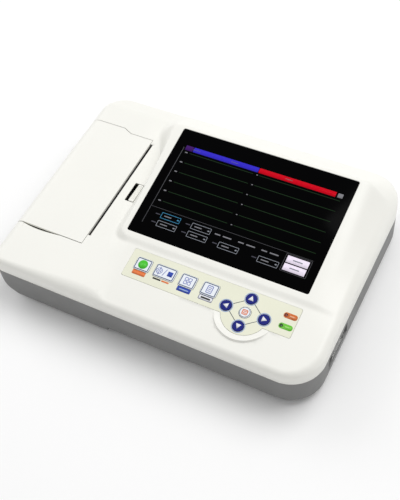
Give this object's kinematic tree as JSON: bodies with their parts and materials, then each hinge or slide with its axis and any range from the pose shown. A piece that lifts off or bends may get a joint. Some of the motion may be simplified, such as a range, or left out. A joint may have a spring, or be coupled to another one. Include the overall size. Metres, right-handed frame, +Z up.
{
  "type": "ecg machine",
  "caption": "Tabletop ECG recorder with an inclined display, a row of function keys and arrow keys, and a hinged thermal printer door beside the screen.",
  "frame": {"origin": "middle of the footprint, on the surface the feet stand on", "axes": "+X to the right along the key row, +Y to the back, +Z up"},
  "size_m": [0.3078, 0.2258, 0.08],
  "materials": {
    "white_casing": "satin, warm ivory white, moulded ABS",
    "grey_base": "fine-textured neutral grey, moulded ABS",
    "rubber_black": "matt",
    "rubber_grey": "matt, ground",
    "steel": "bright",
    "zinc_plate": "satin zinc",
    "aluminium_fins": "natural",
    "nylon_gear": "natural nylon",
    "bronze_bush": "sintered",
    "paper": "thermal paper",
    "board_core": "grey-brown board",
    "black_plastic": "moulded",
    "screen_glass": "polished, black behind",
    "lcd_frame": "folded sheet",
    "overlay": "printed membrane, pale beige green",
    "key_white": "satin",
    "key_navy": "satin",
    "circuit_board": "solder mask",
    "chip_black": "epoxy",
    "lamp_red": "clear tinted, unlit",
    "lamp_green": "clear tinted, unlit",
    "brass_contact": "plated",
    "chrome_shell": "nickel plate",
    "battery_wrap": "shrink wrap",
    "print_ceramic": "glazed thermal line"
  },
  "bodies": {
    "casing": {"battery_cover": "grey_base", "battery_cover_screw": "steel", "battery_pack": "battery_wrap", "board_chips": "chip_black", "case_screws": "steel", "connector_standoffs": "steel", "door_hinge_pin": "steel", "equipotential_stud": "chrome_shell", "head_bracket": "zinc_plate", "idler_axle": "steel", "inlet_pins": "brass_contact", "key_domes": "chrome_shell", "keypad_board": "circuit_board", "keypad_overlay": "overlay", "latch_spring": "steel", "lcd_bracket": "zinc_plate", "lcd_module": "lcd_frame", "lead_connector_insert": "black_plastic", "lead_connector_shell": "chrome_shell", "led_battery": "lamp_green", "led_mains": "lamp_red", "lower_shell": "grey_base", "main_board": "circuit_board", "mains_inlet": "black_plastic", "paper_tray": "black_plastic", "power_board": "circuit_board", "power_parts": "black_plastic", "print_head": "print_ceramic", "print_head_heatsink": "aluminium_fins", "print_head_springs": "rubber_black", "rubber_feet": "rubber_black", "screen_gasket": "rubber_black", "screen_glass": "screen_glass", "shield_can": "zinc_plate", "speaker": "black_plastic", "stepper_motor": "zinc_plate", "upper_shell": "white_casing", "usb_port": "chrome_shell"},
    "door": {"printer_door": "white_casing", "platen_bearings": "bronze_bush"},
    "platen": {"platen_shaft": "steel", "platen_roller": "rubber_grey", "platen_gear": "nylon_gear"},
    "idler": {"idler_gear": "nylon_gear"},
    "rotor": {"motor_pinion": "nylon_gear", "motor_shaft": "steel"},
    "reel": {"paper_spindle": "black_plastic", "paper_core": "board_core", "paper_roll": "paper"},
    "latch": {"latch_button": "white_casing"},
    "key_down": {"key_down": "key_navy"},
    "key_left": {"key_left": "key_navy"},
    "key_menu": {"key_menu": "key_white"},
    "key_mode": {"key_mode": "key_white"},
    "key_power": {"key_power": "key_white"},
    "key_print": {"key_print": "key_white"},
    "key_right": {"key_right": "key_navy"},
    "key_start_stop": {"key_start_stop": "key_white"},
    "key_up": {"key_up": "key_navy"}
  },
  "joints": [
    {"name": "door_hinge", "type": "hinge", "parent": "casing", "child": "door", "pos_m": [-0.1517, 0, 0.0405], "axis": [0, -1, 0], "range_deg": [0, 95]},
    {"name": "platen_spin", "type": "hinge", "parent": "door", "child": "platen", "pos_m": [-0.087, 0, 0.0444], "axis": [0, 1, 0], "continuous": true},
    {"name": "idler_spin", "type": "hinge", "parent": "casing", "child": "idler", "pos_m": [-0.087, -0.0638, 0.0314], "axis": [0, 1, 0], "continuous": true},
    {"name": "motor_spin", "type": "hinge", "parent": "casing", "child": "rotor", "pos_m": [-0.07619, -0.0638, 0.02692], "axis": [0, 1, 0], "continuous": true},
    {"name": "reel_spin", "type": "hinge", "parent": "casing", "child": "reel", "pos_m": [-0.117, 0, 0.0274], "axis": [0, 1, 0], "continuous": true},
    {"name": "latch_slide", "type": "slide", "parent": "casing", "child": "latch", "axis": [-1, 0, 0], "range_m": [0, 0.0034], "stiffness_N_per_m": 400, "deforming": ["latch_spring"]},
    {"name": "key_down_press", "type": "slide", "parent": "casing", "child": "key_down", "axis": [0, 0.1392, -0.9903], "range_m": [0, 0.0004], "stiffness_N_per_m": 1000},
    {"name": "key_left_press", "type": "slide", "parent": "casing", "child": "key_left", "axis": [0, 0.1392, -0.9903], "range_m": [0, 0.0004], "stiffness_N_per_m": 1000},
    {"name": "key_menu_press", "type": "slide", "parent": "casing", "child": "key_menu", "axis": [0, 0.1392, -0.9903], "range_m": [0, 0.0004], "stiffness_N_per_m": 1000},
    {"name": "key_mode_press", "type": "slide", "parent": "casing", "child": "key_mode", "axis": [0, 0.1392, -0.9903], "range_m": [0, 0.0004], "stiffness_N_per_m": 1000},
    {"name": "key_power_press", "type": "slide", "parent": "casing", "child": "key_power", "axis": [0, 0.1392, -0.9903], "range_m": [0, 0.0004], "stiffness_N_per_m": 1000},
    {"name": "key_print_press", "type": "slide", "parent": "casing", "child": "key_print", "axis": [0, 0.1392, -0.9903], "range_m": [0, 0.0004], "stiffness_N_per_m": 1000},
    {"name": "key_right_press", "type": "slide", "parent": "casing", "child": "key_right", "axis": [0, 0.1392, -0.9903], "range_m": [0, 0.0004], "stiffness_N_per_m": 1000},
    {"name": "key_start_stop_press", "type": "slide", "parent": "casing", "child": "key_start_stop", "axis": [0, 0.1392, -0.9903], "range_m": [0, 0.0004], "stiffness_N_per_m": 1000},
    {"name": "key_up_press", "type": "slide", "parent": "casing", "child": "key_up", "axis": [0, 0.1392, -0.9903], "range_m": [0, 0.0004], "stiffness_N_per_m": 1000}
  ],
  "couplings": [
    {"joint": "idler_spin", "follows": "platen_spin", "ratio": -0.66667},
    {"joint": "motor_spin", "follows": "platen_spin", "ratio": 1.3333},
    {"joint": "reel_spin", "follows": "platen_spin", "ratio": 0.30769}
  ]
}
